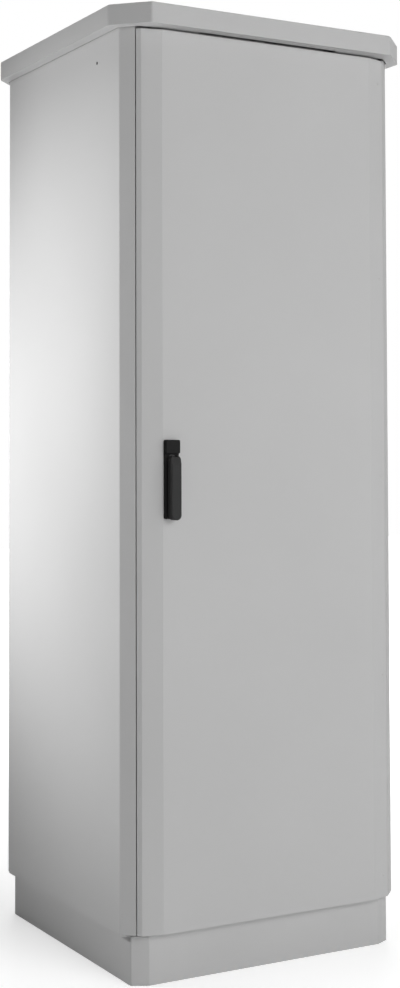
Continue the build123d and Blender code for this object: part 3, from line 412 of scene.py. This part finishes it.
def chamfered(tree, radius, height, top, sides, face_share, slope, both_ends=False):
    """Round or hexagon block whose end edges are chamfered by tapers that run past the block."""
    spare = reckon(tree, "MULTIPLY", height, SPARE_SHARE)
    face_radius = reckon(tree, "MULTIPLY", radius, face_share)
    narrow = reckon(tree, "MULTIPLY_ADD", spare, -slope, face_radius)
    wide = reckon(tree, "MULTIPLY_ADD", reckon(tree, "ADD", height, spare), slope, face_radius)
    run = reckon(tree, "MULTIPLY_ADD", spare, 2.0, height)
    taper_top = reckon(tree, "ADD", top, spare)
    block = common(tree, post(tree, radius, height, top, sides), taper(tree, wide, narrow, run, taper_top))
    if both_ends:
        block = common(tree, block, taper(tree, narrow, wide, run, taper_top))
    return block


def pan_screw(tree, size):
    """Head with a sloped rim and a cross recess."""
    head = chamfered(tree, size["Head Radius"], size["Head Height"], 0.0, ROUND_SIDES, PAN_FACE_SHARE,
                     PAN_RIM_SLOPE)
    for across, along, depth_share in (("X", "Y", 1.0), ("Y", "X", SECOND_BAR_SHARE)):
        depth = reckon(tree, "MULTIPLY", size["Recess Depth"], CENTRED_CUT * depth_share)
        bar_size = add(tree, "ShaderNodeCombineXYZ",
                       {across: size["Recess Width"], along: size["Recess Span"], "Z": depth})
        bar = add(tree, "GeometryNodeMeshCube", {"Size": bar_size.outputs["Vector"]})
        head = cut(tree, head, bar.outputs["Mesh"])
    return joined(tree, head, threaded_shank(tree, size, under_head(tree, size)))


def hex_head(tree, size):
    """Hexagon head, chamfered round its outer face."""
    return chamfered(tree, size["Head Radius"], size["Head Height"], 0.0, HEX_SIDES, HEX_FACE_SHARE,
                     HEX_CHAMFER_SLOPE)


def washer_bolt(tree, size):
    """Chamfered hexagon head on a sealing washer that slopes to its rim."""
    washer_level = under_head(tree, size)
    washer_top = reckon(tree, "MULTIPLY", size["Washer Radius"], WASHER_TOP_SHARE)
    shank_level = reckon(tree, "SUBTRACT", washer_level, size["Washer Height"])
    return joined(tree, hex_head(tree, size),
                  taper(tree, size["Washer Radius"], washer_top, size["Washer Height"], washer_level),
                  threaded_shank(tree, size, shank_level))


def nut_bolt(tree, size):
    """Chamfered hexagon head with a nut at the far side of the sheets that it grips."""
    seat_level = under_head(tree, size)
    nut_level = reckon(tree, "SUBTRACT", seat_level, size["Grip"])
    nut = chamfered(tree, size["Head Radius"], size["Nut Height"], nut_level, HEX_SIDES, HEX_FACE_SHARE,
                    HEX_CHAMFER_SLOPE, both_ends=True)
    return joined(tree, hex_head(tree, size), nut, threaded_shank(tree, size, seat_level))


# Fastener sets: one tree for each set, a point with an outward direction for each fastener
def middle_of(points):
    return sum(points, Vector()) / len(points)


def place_order(points):
    """What the solids are sorted by, so that each run takes them in the same order."""
    return tuple(round(distance, ORDER_DIGITS) for distance in middle_of(points))


def solids_of(node_name):
    """Points of each separate solid in a node of the frame."""
    shape = bmesh.new()
    shape.from_mesh(NODES[node_name].data)
    bmesh.ops.remove_doubles(shape, verts=shape.verts, dist=WELD)
    waiting = set(shape.verts)
    solids = []
    for first in shape.verts:
        if first not in waiting:
            continue
        waiting.remove(first)
        edge_of_search = [first]
        points = []
        while edge_of_search:
            vertex = edge_of_search.pop()
            points.append(vertex.co.copy())
            for edge in vertex.link_edges:
                other = edge.other_vert(vertex)
                if other in waiting:
                    waiting.remove(other)
                    edge_of_search.append(other)
        solids.append(points)
    shape.free()
    return sorted(solids, key=place_order)


def outer_face_middle(points, outward):
    """Middle of the points that lie furthest out."""
    reach = max(point.dot(outward) for point in points)
    return middle_of([point for point in points if reach - point.dot(outward) < FACE_DEPTH])


def fastener_tree(name, shape, sizes, material):
    """Tree that sets one fastener shape on every point, turned to the point's outward direction."""
    tree = bpy.data.node_groups.new(name, "GeometryNodeTree")
    tree.interface.new_socket("Geometry", in_out="INPUT", socket_type="NodeSocketGeometry")
    for size_name in sizes:
        tree.interface.new_socket(size_name, in_out="INPUT", socket_type="NodeSocketFloat")
    tree.interface.new_socket("Geometry", in_out="OUTPUT", socket_type="NodeSocketGeometry")
    given = add(tree, "NodeGroupInput").outputs
    outward = add(tree, "GeometryNodeInputNamedAttribute", {"Name": "outward"}, data_type="FLOAT_VECTOR")
    turn = add(tree, "FunctionNodeAlignRotationToVector", {"Vector": outward.outputs["Attribute"]}, axis="Z")
    placed = add(tree, "GeometryNodeInstanceOnPoints", {
        "Points": given["Geometry"], "Instance": shape(tree, given), "Rotation": turn.outputs["Rotation"]})
    real = add(tree, "GeometryNodeRealizeInstances", {"Geometry": placed.outputs["Instances"]})
    finished = add(tree, "GeometryNodeSetMaterial", {"Geometry": real.outputs["Geometry"]})
    finished.inputs["Material"].default_value = material
    add(tree, "NodeGroupOutput", {"Geometry": finished.outputs["Geometry"]})
    return tree


def fastener_set(name, node_name, body, shape, sizes, outward_of):
    """Fasteners on all the seats of one node of the frame, in its place."""
    directions = []
    seats = []
    for points in solids_of(node_name):
        direction = outward_of(middle_of(points))
        directions.append(direction)
        seats.append(outer_face_middle(points, direction))
    mesh = bpy.data.meshes.new(name)
    mesh.from_pydata(seats, [], [])
    outward = mesh.attributes.new("outward", "FLOAT_VECTOR", "POINT")
    for place, direction in zip(outward.data, directions):
        place.vector = direction
    piece = bpy.data.objects.new(name, mesh)
    bpy.context.scene.collection.objects.link(piece)
    modifier = piece.modifiers.new(name, "NODES")
    modifier.node_group = fastener_tree(name, shape, sizes, FINISH[SLOT[node_name]])
    for socket in modifier.node_group.interface.items_tree:
        if socket.name in sizes:
            modifier[socket.identifier] = sizes[socket.name]
    evaluated = piece.evaluated_get(bpy.context.evaluated_depsgraph_get())
    solid_mesh = bpy.data.meshes.new_from_object(evaluated)
    piece.modifiers.remove(modifier)
    piece.data = solid_mesh
    solid_mesh.shade_smooth()
    solid_mesh.set_sharp_from_angle(angle=SMOOTH_ANGLE)
    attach(piece, body)
    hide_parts(node_name)


def panel_outward(middle):
    """Rear panel screws face the back, the others their own side."""
    if middle.y > 0:
        return Vector((0, 1, 0))
    return Vector((1 if middle.x > 0 else -1, 0, 0))


def bevel_outward(middle):
    """Hinge screws all face out of the door's right bevel."""
    return Vector((BEVEL_SETBACK, -BEVEL_RUN, 0)).normalized()


def backwards(middle):
    """Screws of the lock are driven from inside the cabinet."""
    return Vector((0, 1, 0))


def upwards(middle):
    """Bolts of the roof and the body are driven from above."""
    return Vector((0, 0, 1))


fastener_set("panel_button_screws", "panel_screws", "cabinet", button_screw, PANEL_SCREW, panel_outward)
fastener_set("hinge_countersunk_screws", "hinge_screws", "door", countersunk_screw, HINGE_SCREW,
             bevel_outward)
fastener_set("dish_pan_screws", "dish_screws", "door", pan_screw, DISH_SCREW, backwards)
fastener_set("cam_pan_screw", "cam_screw", "handle", pan_screw, CAM_SCREW, backwards)
fastener_set("roof_hex_bolts", "roof_bolts", "cabinet", washer_bolt, ROOF_BOLT, upwards)
fastener_set("body_hex_bolts", "body_bolts", "cabinet", nut_bolt, BODY_BOLT, upwards)


# Camera
right = Vector((cos(CAMERA_YAW), -sin(CAMERA_YAW), 0))
level = Vector((sin(CAMERA_YAW), cos(CAMERA_YAW), 0))
up = Vector((0, 0, 1))
forward = cos(CAMERA_PITCH) * level + sin(CAMERA_PITCH) * up
above = cos(CAMERA_PITCH) * up - sin(CAMERA_PITCH) * level
rolled_right = cos(CAMERA_ROLL) * right + sin(CAMERA_ROLL) * above
rolled_up = cos(CAMERA_ROLL) * above - sin(CAMERA_ROLL) * right
camera_data = bpy.data.cameras.new("camera")
camera_data.sensor_width = SENSOR
camera_data.lens = FOCAL_PIXELS * SENSOR / IMAGE_HEIGHT
camera_data.shift_y = (OPTICAL_CENTRE_Y - IMAGE_HEIGHT / 2) / IMAGE_HEIGHT
camera = bpy.data.objects.new("camera", camera_data)
turn = Matrix((rolled_right, rolled_up, -forward)).transposed()
camera.matrix_world = Matrix.Translation(CAMERA_PLACE) @ turn.to_4x4()
bpy.context.scene.collection.objects.link(camera)
bpy.context.scene.camera = camera


# Lamps
def aimed(light, place, aim):
    """Hang the lamp in its place and turn it to its aim."""
    lamp = bpy.data.objects.new(light.name, light)
    lamp.location = place
    lamp.rotation_euler = (Vector(aim) - Vector(place)).to_track_quat("-Z", "Y").to_euler()
    bpy.context.scene.collection.objects.link(lamp)


for lamp_name, box in SOFT_BOXES.items():
    light = bpy.data.lights.new(lamp_name, "AREA")
    light.shape = "RECTANGLE"
    light.size, light.size_y = box["size"]
    light.energy = box["power"]
    aimed(light, box["place"], box["aim"])

for lamp_name, spot in SOFT_SPOTS.items():
    light = bpy.data.lights.new(lamp_name, "SPOT")
    light.shadow_soft_size = spot["radius"]
    light.spot_size = spot["cone"]
    light.spot_blend = spot["blend"]
    light.energy = spot["power"]
    aimed(light, spot["place"], spot["aim"])


# Room and floor
def seen_directly(tree):
    """One for rays from the camera and for what shows in gloss and glass, nothing for other light."""
    paths = add(tree, "ShaderNodeLightPath").outputs
    mirrored = reckon(tree, "MAXIMUM", paths["Is Glossy Ray"], paths["Is Transmission Ray"])
    return reckon(tree, "MAXIMUM", paths["Is Camera Ray"], mirrored)


world = bpy.data.worlds.new("studio")
world.use_nodes = True
bpy.context.scene.world = world
sky = world.node_tree
room = sky.nodes["Background"]
room.inputs["Color"].default_value = WHITE
room.inputs["Strength"].default_value = ROOM_LEVEL
white = add(sky, "ShaderNodeBackground", {"Color": WHITE, "Strength": 1.0})
shown = add(sky, "ShaderNodeMixShader", {0: seen_directly(sky), 1: room.outputs["Background"],
                                         2: white.outputs["Background"]})
sky.links.new(shown.outputs["Shader"], sky.nodes["World Output"].inputs["Surface"])

# The floor is pale, and white to the eye further out, with the cabinet's shadow kept beside it
floor_mesh = bpy.data.meshes.new("floor")
floor_mesh.from_pydata([(-FLOOR_HALF, -FLOOR_HALF, 0), (FLOOR_HALF, -FLOOR_HALF, 0),
                        (FLOOR_HALF, FLOOR_HALF, 0), (-FLOOR_HALF, FLOOR_HALF, 0)], [], [(0, 1, 2, 3)])
floor = bpy.data.objects.new("floor", floor_mesh)
bpy.context.scene.collection.objects.link(floor)
pale, pale_tree, pale_shader = new_material("pale_floor")
pale_shader.inputs["Base Color"].default_value = (FLOOR_GREY, FLOOR_GREY, FLOOR_GREY, 1)
pale_shader.inputs["Roughness"].default_value = FLOOR_ROUGHNESS
pale_shader.inputs["Emission Color"].default_value = WHITE
from_middle = add(pale_tree, "ShaderNodeVectorMath",
                  {0: add(pale_tree, "ShaderNodeTexCoord").outputs["Object"]}, operation="LENGTH")
whiteness = spread(pale_tree, from_middle.outputs["Value"], FLOOR_WHITENESS, FLOOR_DISTANCES)
glow = reckon(pale_tree, "MULTIPLY", whiteness, seen_directly(pale_tree))
pale_tree.links.new(glow, pale_shader.inputs["Emission Strength"])
floor_mesh.materials.append(pale)

bpy.context.scene.view_settings.view_transform = "Standard"
